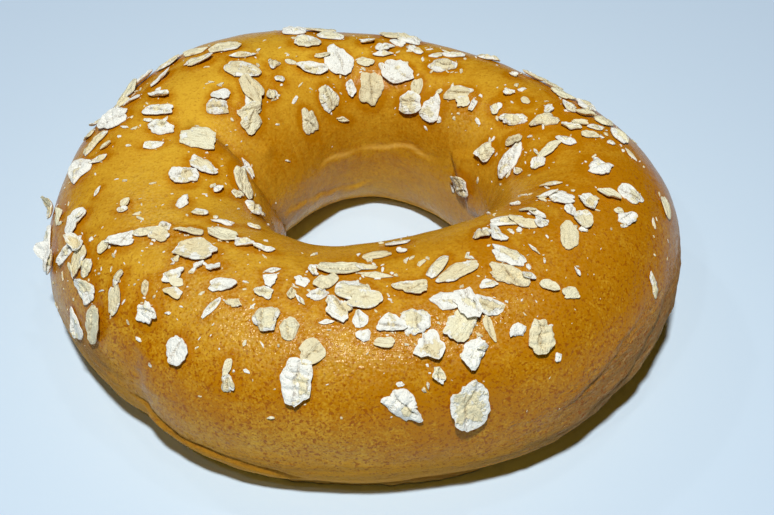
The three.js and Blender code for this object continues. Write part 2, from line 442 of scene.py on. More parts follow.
        along_ring = 0.16  # under 1, so that wrinkles run along the ring
        rolls = swirl * (along_ring, along_ring, 1.0)
        dry = spread(self.dry, ring, section)
        tan = spread(self.tan, ring, section)
        sparkling = spread(self.sparkling, ring, section)
        wrinkles = 1.0 - np.abs(lumps(rolls, 1.5, 7.0)) * 3.0
        lift = 0.75 * lumps(smooth, 26.0, 3.0) + 0.28 * lumps(smooth, 11.0, 9.0)
        lift += 0.10 * lumps(smooth, 4.5, 1.0) + 0.04 * lumps(smooth, 2.0, 5.0)
        lift += dry * (0.16 * wrinkles + 0.18 * lumps(rolls, 0.8, 2.0) + 0.2 * lumps(smooth, 1.7, 31.0))
        lift += 0.5 * tan * (1 - dry) * (0.12 * wrinkles + 0.15 * lumps(smooth, 3.0, 4.0))
        lift += sparkling * (0.10 * lumps(smooth, 1.4, 8.0) + 0.16 * lumps(smooth, 2.6, 21.0))
        lift += 0.45 * bell(self.apart(ring, section, *self.bump), self.bump_width)
        drawn = np.zeros(len(ring))
        for fold in self.folds:
            raised, line = self.folded(fold, smooth, outward)
            lift += raised
            drawn += fold.colour * line
        ragged = self.roll.foot(ring) * bell(wrapped(section - self.ragged_section), 4.0)
        spread_out = ragged * (0.35 + 0.55 * lumps(smooth, 2.6, 6.0) + 0.3 * lumps(smooth, 7.0, 2.0))
        self.store(ring, section, swirl, drawn, ragged)
        places = smooth + outward * (lift * free)[:, None]
        places[:, :2] += unit(smooth[:, :2] - self.roll.axis) * spread_out[:, None]
        places[:, 2] = np.maximum(places[:, 2], 0.0)
        pits = ramp(lumps(smooth, 3.2, 11.0), 0.25, 0.6) * (1 - free)
        places[:, 2] += 0.25 * pits * ramp(-np.abs(wrapped(section + 90.0)), -26.0, -18.0)
        return places

    def swirl(self, ring: np.ndarray, section: np.ndarray) -> np.ndarray:
        """Coordinates that run along the ring in x and y and round the roll in z."""
        turn = np.radians(ring)
        roll_radius, ring_radius = 18.0, 42.0
        x, y = ring_radius * np.cos(turn), ring_radius * np.sin(turn)
        return np.stack([x, y, roll_radius * np.radians(section)], -1)

    def apart(self, ring: np.ndarray, section: np.ndarray, at_ring: float,
              at_section: float) -> np.ndarray:
        """How far each place is from one place on the crust, in millimetres."""
        here = self.roll.point(np.array([at_ring]), np.array([at_section]))
        return np.linalg.norm(self.roll.point(ring, section) - here, axis=1)

    def folded(self, fold: Fold, smooth: np.ndarray,
               outward: np.ndarray) -> tuple[np.ndarray, np.ndarray]:
        """What a fold does to the crust near it.

        Args:
            fold: the fold.
            smooth: the places of the smooth crust.
            outward: its outward directions.

        Returns:
            How far each place is lifted, and how close to the fold's line it is, from 0 to 1.
        """
        corners = np.array(fold.line)
        samples = 140
        share = np.linspace(0, 1, samples)
        knots = np.linspace(0, 1, len(corners))
        ring, section = (np.interp(share, knots, corners[:, i]) for i in (0, 1))
        soften = np.ones(9) / 9
        pad = len(soften) // 2
        ring, section = (
            np.convolve(np.pad(v, pad, mode="edge"), soften, mode="valid") for v in (ring, section)
        )
        path = self.roll.point(ring, section)
        forward = unit(np.gradient(path, axis=0))
        left = np.cross(self.roll.normal(ring, section), forward)
        lift, line = np.zeros(len(smooth)), np.zeros(len(smooth))
        margin = 2.2 * fold.reach
        near = ((smooth > path.min(0) - margin) & (smooth < path.max(0) + margin)).all(1)
        at = np.flatnonzero(near)
        gaps = np.linalg.norm(smooth[at, None, :] - path[None], axis=2)
        closest = gaps.argmin(1)
        gap = gaps.min(1)
        side = np.sign(((smooth[at] - path[closest]) * left[closest]).sum(1))
        facing = ramp((outward[at] * self.roll.normal(ring, section)[closest]).sum(1), 0.0, 0.5)
        signed = gap * side * math.copysign(1.0, fold.step) + fold.stray * lumps(smooth[at], 3.4, 21.0)
        along = share[closest]
        uneven = np.clip(1.0 + fold.stray * lumps(path, 5.0, 4.0), 0.3, 1.3)[closest]
        end_share = 0.16
        fade = ramp(along, 0.0, end_share) * ramp(1 - along, 0.0, end_share) * facing * uneven
        onto = np.clip(signed / fold.soft, 0.0, 1.0)
        rounded = np.sqrt(1 - (1 - onto) ** 2)
        thin = 0.5
        lift[at] = fade * abs(fold.step) * rounded * bell(np.maximum(signed, 0), fold.reach)
        lift[at] -= fade * fold.groove * bell(signed, thin)
        line[at] = fade * bell(signed - 0.2, thin)
        # painted shade: the raised edge is drawn darker just behind the line
        if fold.band:
            line[at] += 0.5 * fade * (signed > 0) * bell(signed, fold.band)
        return lift, line

    def store(self, ring: np.ndarray, section: np.ndarray, swirl: np.ndarray, drawn: np.ndarray,
              ragged: np.ndarray) -> None:
        """Keeps on the mesh what the crust's finish reads.

        Args:
            ring: ring angles.
            section: section angles.
            swirl: coordinates along the ring and round the roll.
            drawn: how pale or dark the lines of the folds are; the dark lines are painted shade, and
                the lip's pale line is a painted highlight.
            ragged: where the thin foot on the tray is.
        """
        # painted shade: the deep patches along the seam and above the lip darken the tone
        tone = 0.5 + 0.5 * spread(self.deep, ring, section) - 0.5 * spread(self.light, ring, section)
        keep_value(self.piece, "tone", tone)
        keep_value(self.piece, "tan", spread(self.tan, ring, section))
        keep_value(self.piece, "dry", spread(self.dry, ring, section))
        keep_value(self.piece, "freckled", spread(self.freckled, ring, section))
        keep_value(self.piece, "sparkling", spread(self.sparkling, ring, section))
        keep_value(self.piece, "pale_and_lit_line", np.clip(drawn, 0, 1) + ragged)
        keep_value(self.piece, "painted_shade_line", np.clip(-drawn, 0, 1))
        keep_value(self.piece, "swirl", swirl)

    def dress(self, finish: "CrustFinish") -> None:
        """Gives the bread its crust and says what it stands for."""
        self.piece.data.materials.append(finish.made())
        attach(self.piece, BODY)
        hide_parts(BREAD_NODE)


# ---- the oat topping ----


@dataclass(frozen=True)
class Habit:
    """What sets one cut of flake apart from another.

    Attributes:
        code: its letter in the lists of flakes.
        floury: how much of its face is white flour and not pale bran, from 0 to 1.
        rugged: how uneven its face and rim are, 1 being usual.
        breaks: the fewest and the most straight broken edges, plus one.
        depth: how near its middle such an edge may pass, as shares of its half size.
        curl: how far a bent edge stands up.
    """

    code: str
    floury: float
    rugged: float
    breaks: tuple[int, int]
    depth: tuple[float, float]
    curl: float


class Cut(Enum):
    """How a rolled oat came out of the rollers."""

    WHOLE = Habit("o", 0.34, 0.9, (2, 5), (0.68, 0.95), 0.6)
    SLAB = Habit("s", 0.60, 0.6, (1, 3), (0.86, 1.00), 0.4)
    SPLIT = Habit("h", 0.42, 1.1, (2, 4), (0.66, 0.95), 0.8)
    WEDGE = Habit("w", 0.50, 1.1, (3, 5), (0.50, 0.90), 0.8)
    CHUNK = Habit("c", 0.62, 1.4, (3, 6), (0.58, 0.95), 1.0)
    SLIVER = Habit("v", 0.42, 0.9, (0, 2), (0.80, 0.98), 0.5)
    CURL = Habit("k", 0.62, 1.4, (2, 4), (0.60, 0.95), 1.3)

    @classmethod
    def of(cls, code: str) -> "Cut":
        """The cut with a letter of the lists."""
        return next(cut for cut in cls if cut.value.code == code)

    def rim(self, angle: np.ndarray, grain: float) -> np.ndarray:
        """The outline's distance from the centre, as a share of the half length and width."""
        match self:
            case Cut.WHOLE:
                return 1 + 0.05 * np.cos(2 * angle) + 0.04 * np.sin(3 * angle + grain)
            case Cut.SPLIT:
                notch = bell(np.sin(angle / 2), 0.22)
                return 1.03 - 0.3 * notch + 0.05 * np.sin(5 * angle + grain)
            case Cut.WEDGE:
                return 0.98 + 0.13 * np.cos(3 * angle) + 0.06 * np.sin(4 * angle + grain)
            case Cut.CHUNK:
                return 0.98 + 0.10 * np.sin(3 * angle + grain) + 0.08 * np.sin(5 * angle + 2 * grain)
            case Cut.SLAB:
                return 1.06 - 0.14 * np.cos(4 * angle) + 0.03 * np.sin(3 * angle + grain)
            case Cut.SLIVER:
                return 1.0 - 0.22 * np.abs(np.sin(2 * angle)) + 0.05 * np.sin(3 * angle + grain)
            case Cut.CURL:
                return 1.0 - 0.42 * bell(wrapped(np.degrees(angle) - 90.0), 42.0)


LARGE_CUTS: dict[Cut, frozenset[int]] = {
    Cut.SPLIT: frozenset({1, 4, 14, 15, 20, 25, 30, 42, 43, 55, 58}),
    Cut.SLAB: frozenset({2, 16, 34, 36, 52, 53, 54}),
    Cut.CHUNK: frozenset({7, 8, 13, 18, 19, 29, 33, 50}),
    Cut.WEDGE: frozenset({21, 22, 23, 31, 39, 56}),
    Cut.CURL: frozenset({35}),
}

# A slab's ends are rubbed off, so it is this much shorter than its node.
SLAB_TRIM = 0.86

# Ring angle, section angle, turn of the long axis from +X, length, width and cut.
SMALL_FLAKES: dict[str, tuple[FlakeRow, ...]] = {
    "left": (
        (183, 63, 60, 2.4, 0.8, "v"), (189, 47, 35, 6.4, 4.6, "w"), (187, 121, 60, 2.3, 2.0, "c"),
        (187, 131, 0, 2.4, 2.0, "c"), (189, 53, 30, 1.8, 1.2, "o"), (190, 77, 60, 2.2, 1.9, "o"),
        (192, 75, 0, 2.0, 1.3, "o"), (194, 101, 40, 3.6, 2.8, "c"), (196, 46, 120, 4.6, 3.2, "k"),
        (200, 36, 95, 2.7, 1.5, "o"), (201, 105, 0, 3.3, 2.1, "o"), (201, 58, 30, 3.0, 2.2, "o"),
        (202, 44, 60, 3.6, 3.2, "o"), (205, 9, 115, 6.2, 4.8, "w"), (203, 81, 175, 6.0, 3.0, "o"),
        (203, 88, 60, 2.3, 2.0, "c"), (206, 83, 165, 4.3, 2.8, "w"), (208, 112, 0, 3.8, 2.2, "c"),
        (208, 94, 170, 6.4, 3.3, "w"), (210, 53, 45, 3.4, 2.2, "o"), (214, 124, 5, 2.6, 1.3, "s"),
        (216, 78, 10, 2.2, 1.5, "c"), (217, 57, 85, 3.0, 1.4, "o"), (220, 70, 0, 5.0, 3.0, "w"),
        (222, 67, 170, 2.6, 1.8, "o"), (222, 80, 60, 2.5, 2.0, "c"), (223, 62, 160, 4.0, 2.3, "w"),
        (224, 103, 155, 4.6, 3.0, "c"), (226, 83, 10, 3.2, 2.4, "k"), (178, 20, 110, 5.6, 4.2, "k"),
        (190, 20, 100, 6.2, 4.6, "k"), (183, 34, 80, 4.0, 2.6, "c"),
    ),
    "front": (
        (232, 76, 170, 5.8, 3.0, "h"), (232, 104, 170, 4.0, 1.8, "w"), (233, 64, 45, 4.5, 1.6, "o"),
        (237, 71, 160, 3.1, 1.8, "c"), (240, 93, 15, 3.0, 1.3, "v"), (242, 41, 80, 3.6, 1.6, "k"),
        (242, 87, 80, 3.0, 2.7, "c"), (243, 32, 90, 3.7, 3.4, "w"), (243, 80, 0, 3.6, 2.5, "c"),
        (249, 83, 90, 2.5, 1.7, "o"), (250, 90, 150, 2.9, 2.3, "c"), (252, 65, 90, 4.0, 3.6, "o"),
        (252, 96, 120, 2.7, 2.2, "c"), (252, 80, 130, 2.7, 0.9, "v"), (256, 84, 30, 3.9, 2.6, "o"),
        (258, 55, 40, 5.0, 4.4, "o"), (257, 90, 45, 5.0, 3.2, "o"), (260, 70, 5, 2.6, 1.0, "v"),
        (266, 87, 0, 6.8, 4.6, "h"), (268, 72, 90, 3.4, 2.8, "o"), (269, 81, 5, 6.6, 3.6, "o"),
        (269, 64, 0, 2.8, 2.2, "c"), (269, 100, 5, 4.0, 1.6, "o"), (272, 95, 170, 6.4, 1.5, "v"),
        (274, 60, 0, 3.8, 2.3, "o"), (274, 110, 8, 5.8, 2.9, "o"), (275, 68, 0, 5.6, 4.2, "w"),
        (283, 56, 100, 6.0, 5.2, "h"), (283, 110, 0, 2.4, 1.6, "w"), (284, 42, 100, 3.8, 2.2, "w"),
        (284, 120, 15, 4.5, 2.4, "o"), (290, 76, 165, 5.6, 3.8, "w"), (292, 93, 55, 6.5, 2.6, "o"),
        (292, 49, 80, 6.0, 4.6, "c"), (294, 50, 10, 2.5, 1.5, "v"), (295, 72, 95, 7.2, 5.0, "c"),
        (297, 57, 110, 4.8, 1.8, "o"), (299, 66, 160, 6.2, 4.6, "w"), (302, 77, 20, 3.5, 2.4, "w"),
        (302, 52, 20, 3.5, 3.0, "c"), (308, 32, 80, 1.6, 1.3, "s"), (311, 72, 0, 2.8, 1.6, "o"),
    ),
    "right": (
        (312, 87, 150, 7.2, 4.0, "h"), (314, 64, 165, 3.6, 2.2, "o"), (314, 104, 100, 4.6, 3.4, "c"),
        (316, 98, 110, 5.2, 2.8, "c"), (317, 55, 10, 4.0, 2.6, "w"), (319, 83, 130, 3.0, 0.8, "v"),
        (322, 62, 120, 2.0, 1.0, "v"), (324, 104, 0, 6.0, 2.4, "s"), (326, 97, 165, 5.6, 2.6, "o"),
        (329, 92, 30, 3.2, 2.3, "c"), (332, 98, 130, 4.0, 1.9, "o"), (333, 77, 0, 1.8, 1.6, "c"),
        (333, 104, 150, 3.6, 1.8, "o"), (336, 27, 110, 5.2, 2.2, "k"), (336, 81, 100, 5.0, 4.0, "o"),
        (337, 115, 160, 2.3, 1.3, "w"), (338, 88, 90, 3.4, 2.5, "c"), (343, 63, 10, 4.2, 2.8, "k"),
        (343, 103, 170, 3.8, 1.4, "v"), (344, 68, 0, 2.2, 1.7, "o"), (347, 47, 115, 2.4, 0.8, "v"),
        (348, 77, 150, 4.6, 2.9, "o"), (350, 107, 175, 4.5, 1.4, "v"), (354, 41, 115, 5.0, 3.0, "o"),
        (3, 118, 160, 3.8, 2.5, "c"), (4, 130, 150, 1.8, 1.4, "c"), (5, 62, 125, 3.8, 1.5, "v"),
        (7, 137, 30, 2.0, 0.8, "v"), (8, 108, 35, 5.0, 3.0, "o"), (8, 73, 0, 1.6, 1.4, "c"),
        (10, 97, 150, 4.5, 2.6, "o"), (11, 64, 120, 4.6, 3.0, "o"), (11, 83, 0, 3.5, 2.0, "o"),
        (14, 76, 0, 3.2, 1.7, "o"), (15, 90, 160, 4.4, 2.6, "w"), (16, 84, 170, 3.4, 2.0, "o"),
        (17, 66, 140, 4.2, 3.5, "s"), (20, 74, 155, 4.0, 3.0, "o"), (20, 121, 0, 4.0, 3.0, "o"),
        (24, 78, 120, 4.0, 3.4, "c"), (25, 90, 60, 3.0, 2.2, "c"), (26, 139, 30, 4.5, 3.6, "h"),
        (30, 69, 160, 5.0, 3.5, "o"), (32, 94, 130, 1.9, 1.6, "o"), (35, 63, 160, 4.2, 2.6, "o"),
    ),
    "back": (
        (37, 110, 80, 3.0, 2.5, "c"), (38, 95, 0, 2.5, 1.6, "c"), (44, 78, 150, 2.3, 1.6, "c"),
        (45, 116, 60, 2.4, 1.3, "s"), (49, 117, 30, 3.0, 2.5, "c"), (55, 64, 165, 5.0, 3.2, "o"),
        (64, 80, 170, 4.4, 2.4, "o"), (69, 87, 0, 3.1, 1.6, "o"), (71, 120, 80, 4.3, 2.4, "o"),
        (72, 132, 10, 5.5, 4.2, "h"), (76, 86, 140, 4.0, 2.0, "s"), (79, 72, 170, 5.0, 3.6, "s"),
        (80, 112, 165, 6.7, 5.2, "h"), (82, 82, 150, 3.5, 2.4, "c"), (86, 91, 10, 4.0, 3.0, "c"),
        (86, 98, 5, 4.3, 1.4, "v"), (86, 110, 100, 1.9, 1.6, "w"), (91, 86, 0, 3.8, 2.4, "c"),
        (92, 106, 170, 3.6, 2.2, "o"), (99, 127, 100, 3.4, 2.2, "c"), (102, 80, 0, 5.5, 3.0, "o"),
        (104, 147, 165, 2.8, 1.2, "v"), (107, 101, 5, 3.3, 1.3, "o"), (108, 111, 0, 2.2, 2.0, "c"),
        (111, 70, 0, 5.0, 4.0, "s"), (112, 110, 0, 6.0, 2.7, "o"), (118, 102, 170, 2.3, 1.3, "o"),
        (124, 101, 0, 3.2, 2.8, "c"), (126, 111, 150, 2.7, 2.0, "w"), (130, 88, 8, 5.5, 1.6, "v"),
        (132, 118, 90, 2.5, 2.4, "w"), (136, 64, 5, 5.6, 2.8, "o"), (137, 110, 115, 7.5, 4.4, "o"),
        (141, 56, 25, 6.0, 4.0, "o"), (145, 118, 30, 4.5, 4.0, "w"), (146, 101, 30, 4.2, 3.2, "k"),
        (147, 124, 50, 4.5, 3.6, "s"), (148, 66, 40, 6.5, 2.0, "k"), (151, 48, 10, 5.6, 4.4, "o"),
        (153, 76, 160, 5.0, 2.5, "k"), (155, 52, 30, 4.0, 2.2, "o"), (155, 59, 25, 4.2, 2.5, "o"),
        (159, 38, 60, 3.2, 3.0, "o"), (163, 138, 130, 4.4, 1.5, "v"), (163, 40, 60, 3.5, 3.0, "o"),
        (167, 52, 40, 6.5, 2.5, "s"), (169, 62, 25, 2.7, 1.5, "o"), (169, 88, 5, 4.4, 2.0, "k"),
        (173, 60, 15, 4.5, 1.6, "v"), (176, 113, 155, 6.0, 3.8, "o"),
    ),
}


@dataclass(frozen=True)
class Lie:
    """Where a flake lies and how big it is, in millimetres.

    Attributes:
        centre: its middle.
        along, across, normal: its long axis, its cross axis and the way it faces.
        length, width: its size.
        cut: how it was rolled.
        rim: the outline, as a share of the half length and width at an angle.
    """

    centre: np.ndarray
    along: np.ndarray
    across: np.ndarray
    normal: np.ndarray
    length: float
    width: float
    cut: Cut
    rim: Callable[[np.ndarray], np.ndarray]

    @property
    def span(self) -> float:
        """Half of its longest size."""
        return max(self.length, self.width) / 2

    def placed(self, x: np.ndarray, y: np.ndarray, height: np.ndarray) -> np.ndarray:
        """Places given along, across and above the flake, in the bagel's frame."""
        flat = self.centre + x[:, None] * self.along + y[:, None] * self.across
        return flat + height[:, None] * self.normal


@dataclass(frozen=True)
class FlakeBlank:
    """A flat round blank that every flake of one size class is shaped from.

    Attributes:
        name: the blank's name.
        sides: points round the rim.
        rings: rings of points from the rim to the middle.
    """

    name: str
    sides: int
    rings: int

    def made(self) -> bpy.types.Object:
        """A disc of radius 1 with rings of faces, given a thickness and closed."""
        nothing_selected()
        bpy.ops.mesh.primitive_circle_add(vertices=self.sides, radius=1.0, fill_type="NGON")
        blank = bpy.context.object
        blank.name = self.name
        bpy.ops.object.mode_set(mode="EDIT")
        bpy.ops.mesh.select_all(action="SELECT")
        for _ in range(self.rings - 1):
            bpy.ops.mesh.inset(thickness=math.cos(math.pi / self.sides) / self.rings)
        bpy.ops.mesh.poke()
        bpy.ops.object.mode_set(mode="OBJECT")
        wall = blank.modifiers.new("wall", "SOLIDIFY")
        wall.thickness = 0.2
        wall.offset = 0.0
        bpy.ops.object.modifier_apply(modifier=wall.name)
        return blank


@dataclass
class OatTopping:
    """The rolled oats on the glazed crown: large flakes, small flakes and crumbs.

    Attributes:
        roll: the smooth ring that the lists of flakes refer to.
        bread: the baked ring that they lie on.
        thickness: of a large flake in its middle.
        crumbs: how many crumbs are sown.
        crumb_reach: how far from a flake's middle crumbs usually fall.
        crumb_shape: the least and the most length, width and height of a crumb, as shares of
            its half size.
        left_lift: how much more an end stands up where a flake faces left.
        seed: starts the random draws.
        lies: the lies of the flakes laid so far.
    """

    roll: Roll
    bread: BakedRing
    thickness: float = 0.62
    crumbs: int = 800
    crumb_reach: float = 4.2
    crumb_shape: tuple[tuple[float, float], ...] = ((1.0, 2.1), (0.5, 1.0), (0.3, 0.6))
    left_lift: float = 1.9
    seed: int = 11
    lies: list[Lie] = field(default_factory=list)

    def __post_init__(self) -> None:
        """Starts the random draws and makes the crust ready to lay flakes on."""
        self.draws = np.random.default_rng(self.seed)
        self.seats: list[tuple[np.ndarray, float, BVHTree]] = []
        self.crust = tree_of(self.bread.piece)

    # -- where flakes lie --

    def lie_of_node(self, number: int) -> Lie:
        """The lie of a large flake, measured on its construction node."""
        name = f"{FLAKE_NODE}{number:02d}"
        places = np.unique(np.round(points_of(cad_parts[name]), 4), axis=0)
        centre = places.mean(0)
        axes = np.linalg.svd(places - centre)[2]
        core = self.core_near(centre)
        normal = axes[2] * np.sign(np.dot(axes[2], centre - core))
        along = axes[0]
        across = np.cross(normal, along)
        x, y = (places - centre) @ along, (places - centre) @ across
        length, width = float(np.ptp(x)), float(np.ptp(y))
        share = np.hypot(2 * x / length, 2 * y / width)
        rim_points = 20  # the node's rim has ten points above and ten below
        outermost = np.argsort(-share)[:rim_points]
        angle = np.arctan2(2 * y / width, 2 * x / length)[outermost]
        order = np.argsort(angle)
        angles, shares = angle[order], share[outermost][order]
        cut = next((c for c, numbers in LARGE_CUTS.items() if number in numbers), Cut.WHOLE)
        if cut is Cut.SLAB:
            length *= SLAB_TRIM

        def rim(at: np.ndarray) -> np.ndarray:
            """The node's own outline, read between its rim points."""
            return np.interp(at, angles, shares, period=2 * math.pi)

        return Lie(centre, along, across, normal, length, width, cut, rim)

    def core_near(self, place: np.ndarray) -> np.ndarray:
        """The middle of the roll beside a place."""
        offset = place[:2] - self.roll.axis
        ring = math.degrees(math.atan2(offset[1], offset[0]))
        outer, hole, crown = (
            float(self.roll.around(s, ring)) for s in (self.roll.outer, self.roll.hole, self.roll.crown)
        )
        flat = self.roll.axis + offset / np.linalg.norm(offset) * (outer + hole) / 2
        return np.array([*flat, crown / 2])

    def lie_of_row(self, row: FlakeRow) -> Lie:
        """The lie of a listed small flake."""
        ring, section, turn, length, width, cut_name = row
        at = np.array([float(ring)]), np.array([float(section)])
        centre, normal = self.roll.point(*at)[0], self.roll.normal(*at)[0]
        east = unit(np.array([1.0, 0.0, 0.0]) - normal[0] * normal)
        north = np.cross(normal, east)
        angle = math.radians(turn)
        along = math.cos(angle) * east + math.sin(angle) * north
        cut = Cut.of(cut_name)
        grain = float(self.draws.uniform(0, 2 * math.pi))
        return Lie(
            centre, along, np.cross(normal, along), normal, length, width, cut,
            lambda at_angle: cut.rim(at_angle, grain),
        )

    def height_under(self, lie: Lie, x: np.ndarray, y: np.ndarray) -> np.ndarray:
        """How high the crust or a flake already laid stands under each place of a flake.

        Args:
            lie: the new flake's lie.
            x: places along it.
            y: places across it.

        Returns:
            The heights, and nan where nothing is met close by.
        """
        above = 6.0
        starts = lie.placed(x, y, np.full(len(x), above))
        down = Vector(-lie.normal)
        near = [
            tree for centre, span, tree in self.seats
            if np.linalg.norm(centre - lie.centre) < span + lie.span + 1.0
        ]
        found = []
        for start in starts:
            gaps = [tree.ray_cast(Vector(start), down, 2 * above)[3] for tree in (self.crust, *near)]
            met = [gap for gap in gaps if gap is not None]
            found.append(above - min(met) if met else math.nan)
        return np.array(found)

    def bed(self, lie: Lie, x: np.ndarray, y: np.ndarray, drape: float) -> np.ndarray:
        """The height of a flake's underside: the smooth bowl that fits what is under it.

        Args:
            lie: the flake's lie.
            x: places along it.
            y: places across it.
            drape: how much of the bowl's curve the stiff flake takes up, from 0 to 1.

        Returns:
            The heights at those places.
        """
        heights = self.height_under(lie, x, y)
        ok = np.isfinite(heights)
        usual = np.median(heights[ok])
        stray = 2.0  # heights farther than this from the usual one are left out
        ok &= np.abs(heights - usual) < stray
        flat = np.stack([np.ones_like(x), x, y], -1)
        curved = np.stack([x * x, x * y, y * y], -1)
        terms = np.hstack([flat, curved])
        fitted = np.linalg.lstsq(terms[ok], heights[ok], rcond=None)[0]
        plane = np.linalg.lstsq(flat[ok], heights[ok], rcond=None)[0]
        laid = drape * (terms @ fitted) + (1 - drape) * (flat @ plane)
        sunk = np.quantile((heights - laid)[ok], 0.9)
        pressed_in = 0.12
        return laid + max(0.0, sunk - pressed_in)

    # -- flakes --

    def shaped(self, blank: bpy.types.Object, lie: Lie, name: str) -> bpy.types.Object:
        """Copies the blank and shapes the copy into one flake where it lies.

        Args:
            blank: the round blank.
            lie: where the flake lies.
            name: the new piece's name.

        Returns:
            The flake, with its place in its mesh.
        """
        draws = self.draws
        flake = blank.copy()
        flake.data = blank.data.copy()
        flake.name = flake.data.name = name
        bpy.context.scene.collection.objects.link(flake)
        start = points_of(blank) * MM
        share = np.hypot(start[:, 0], start[:, 1])
        angle = np.arctan2(start[:, 1], start[:, 0])
        habit = lie.cut.value
        seed = float(draws.uniform(0, 500))
        rim = np.minimum(lie.rim(angle), self.broken(angle, habit))
        rim = rim * self.torn(angle, habit.rugged, seed)
        x = 0.5 * lie.length * share * rim * np.cos(angle)
        y = 0.5 * lie.width * share * rim * np.sin(angle)
        full_width = 4.5  # a flake this wide or wider has the full relief and thickness
        size = min(1.0, 0.42 + 0.58 * lie.width / full_width)
        local = np.stack([x, y, np.full_like(x, seed)], -1)
        ridges, crease = self.face(lie, local, share, size)
        drape = float(draws.uniform(0.3, 0.8))
        under = self.bed(lie, x, y, drape) + self.bent(lie, local, share, angle, size)

        middle = self.thickness * size * float(draws.uniform(0.8, 1.2))
        edge = 0.3 * size + 0.06
        thick = edge + (middle - edge) * (1 - share**3)
        is_top = start[:, 2] > 0
        rounding = np.where(share > 0.97, 0.25, 0.0) * edge
        clear, thinnest = 0.02, 0.1
        lower = under + clear + rounding
        upper = under + thick - rounding + ridges * (1 - 0.35 * share**4)
        height = np.where(is_top, np.maximum(upper, lower + thinnest), lower)
        move_points(flake, lie.placed(x, y, height))

        keep_value(flake, "grain", local)
        keep_value(flake, "tone", np.full_like(x, float(draws.uniform(0, 1))))
        white = float(np.clip(habit.floury + draws.normal(-0.02, 0.22), 0, 1))
        keep_value(flake, "floury", np.full_like(x, white))
        keep_value(flake, "rim", share)
        keep_value(flake, "crease", crease)
        self.seats.append((lie.centre, lie.span, tree_of(flake)))
        self.lies.append(lie)
        return flake

    def face(self, lie: Lie, local: np.ndarray, share: np.ndarray,
             size: float) -> tuple[np.ndarray, np.ndarray]:
        """The bulges, creases and grain of a flake's upper face.

        Args:
            lie: the flake's lie.
            local: places on the flake, with its own seed as the third number.
            share: how far out each place is, 1 at the rim.
            size: how big the flake is, 1 for a large one.

        Returns:
            How far each place is raised, and how deep it lies in the flake's crease, from 0 to 1.
        """
        draws = self.draws
        rugged = size * lie.cut.value.rugged
        x, y = local[:, 0], local[:, 1]
        bulges = np.sqrt(np.abs(lumps(local, 1.8, 3.0))) - 0.4
        small_bulges = np.abs(lumps(local, 0.75, 7.0)) - 0.2
        grain = 0.10 * lumps(local * (0.25, 1.4, 1.0), 0.8)
        raised = rugged * (0.28 * bulges + 0.17 * small_bulges) + grain
        ribbed_share, creased_share = 0.3, 0.45
        if lie.cut is Cut.SLAB or draws.uniform() < ribbed_share:
            ribs = np.abs(np.sin(1.8 * x + 1.2 * lumps(local, 2.5, 4.0)))
            raised = raised + 0.4 * size * ribs * (1 - share**6)
        if lie.cut not in (Cut.SPLIT, Cut.SLAB) and draws.uniform() > creased_share:
            return raised, np.zeros_like(x)
        lean, off = float(draws.normal(0.0, 0.3)), float(draws.normal(0.0, 0.08)) * lie.width
        wander = 0.16 * lie.width * lumps(local * (0.45, 0.0, 1.0), 1.0, 6.0)
        gap = y - off - lean * x - wander
        crease = bell(gap, 0.10 + 0.02 * lie.width) * (1 - share**8)
        depth = float(draws.uniform(0.25, 0.5))
        lip = 0.12 * np.sign(gap) * ramp(-np.abs(gap), -1.0, 0.0)
        raised = raised - depth * crease + lip
        return raised, crease

    def bent(self, lie: Lie, local: np.ndarray, share: np.ndarray, angle: np.ndarray,
             size: float) -> np.ndarray:
        """How far a flake stands off its bed where it is tilted, bent or warped.

        Args:
            lie: the flake's lie.
            local: places on the flake, with its own seed as the third number.
            share: how far out each place is, 1 at the rim.
            angle: the direction of each place from the middle.
            size: how big the flake is, 1 for a large one.

        Returns:
            The height above the bed at each place.
        """
        draws = self.draws
        habit = lie.cut.value
        raised_end = float(draws.uniform(0, 2 * math.pi))
        towards = share * np.cos(angle - raised_end)
        end = np.maximum(0.0, towards - 0.2) ** 1.5
        lifted = habit.curl * size * float(draws.uniform(0.1, 1.0)) * end
        tilted = 0.35 * habit.curl * size * float(draws.uniform(0.0, 1.0)) * (1 + towards)
        cupped = size * max(0.0, float(draws.uniform(-0.3, 0.6))) * share**2.5
        faces_left = ramp(np.array([-lie.normal[0]]), 0.3, 0.8)[0]
        lifted = lifted * (1 + self.left_lift * faces_left)
        warped = 0.28 * habit.rugged * size * share**2 * lumps(local, 2.2, 12.0)
        return lifted + tilted + cupped + warped

    def broken(self, angle: np.ndarray, habit: Habit) -> np.ndarray:
        """How far from the middle the straight broken edges let the rim reach, at each angle."""
        reach = np.full_like(angle, 2.0)
        facing_least = 0.3  # a break holds back only the part of the rim that faces it
        for _ in range(int(self.draws.integers(*habit.breaks))):
            faces = float(self.draws.uniform(0, 2 * math.pi))
            depth = float(self.draws.uniform(*habit.depth))
            across = np.cos(angle - faces)
            straight = depth / np.maximum(across, facing_least) + 9.0 * (across < facing_least)
            reach = np.minimum(reach, straight)
        return reach

    def torn(self, angle: np.ndarray, rugged: float, seed: float) -> np.ndarray:
        """The small tears and bumps of a flake's rim, as a factor on its outline."""
        circle = np.stack([np.cos(angle), np.sin(angle), np.full_like(angle, seed)], -1)
        fine = 0.13 * lumps(circle, 0.7) + 0.10 * lumps(circle, 0.33, 1.0)
        fine = fine + 0.06 * lumps(circle, 0.16, 2.0)
        bite = ramp(lumps(circle, 0.5, 5.0), 0.25, 0.5)
        return 1.0 + rugged * (fine - 0.14 * bite)

    def lay_large(self, finish: "OatFinish") -> None:
        """Makes a finished flake for every construction flake."""
        blank = FlakeBlank("large_blank", sides=40, rings=10).made()
        count = sum(1 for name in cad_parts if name.startswith(FLAKE_NODE))
        for number in range(1, count + 1):
            flake = self.shaped(blank, self.lie_of_node(number), f"rolled_flake_{number:02d}")
            self.dress(flake, finish)
            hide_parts(f"{FLAKE_NODE}{number:02d}")
        discard(blank)
        log.info("%d large flakes laid", count)

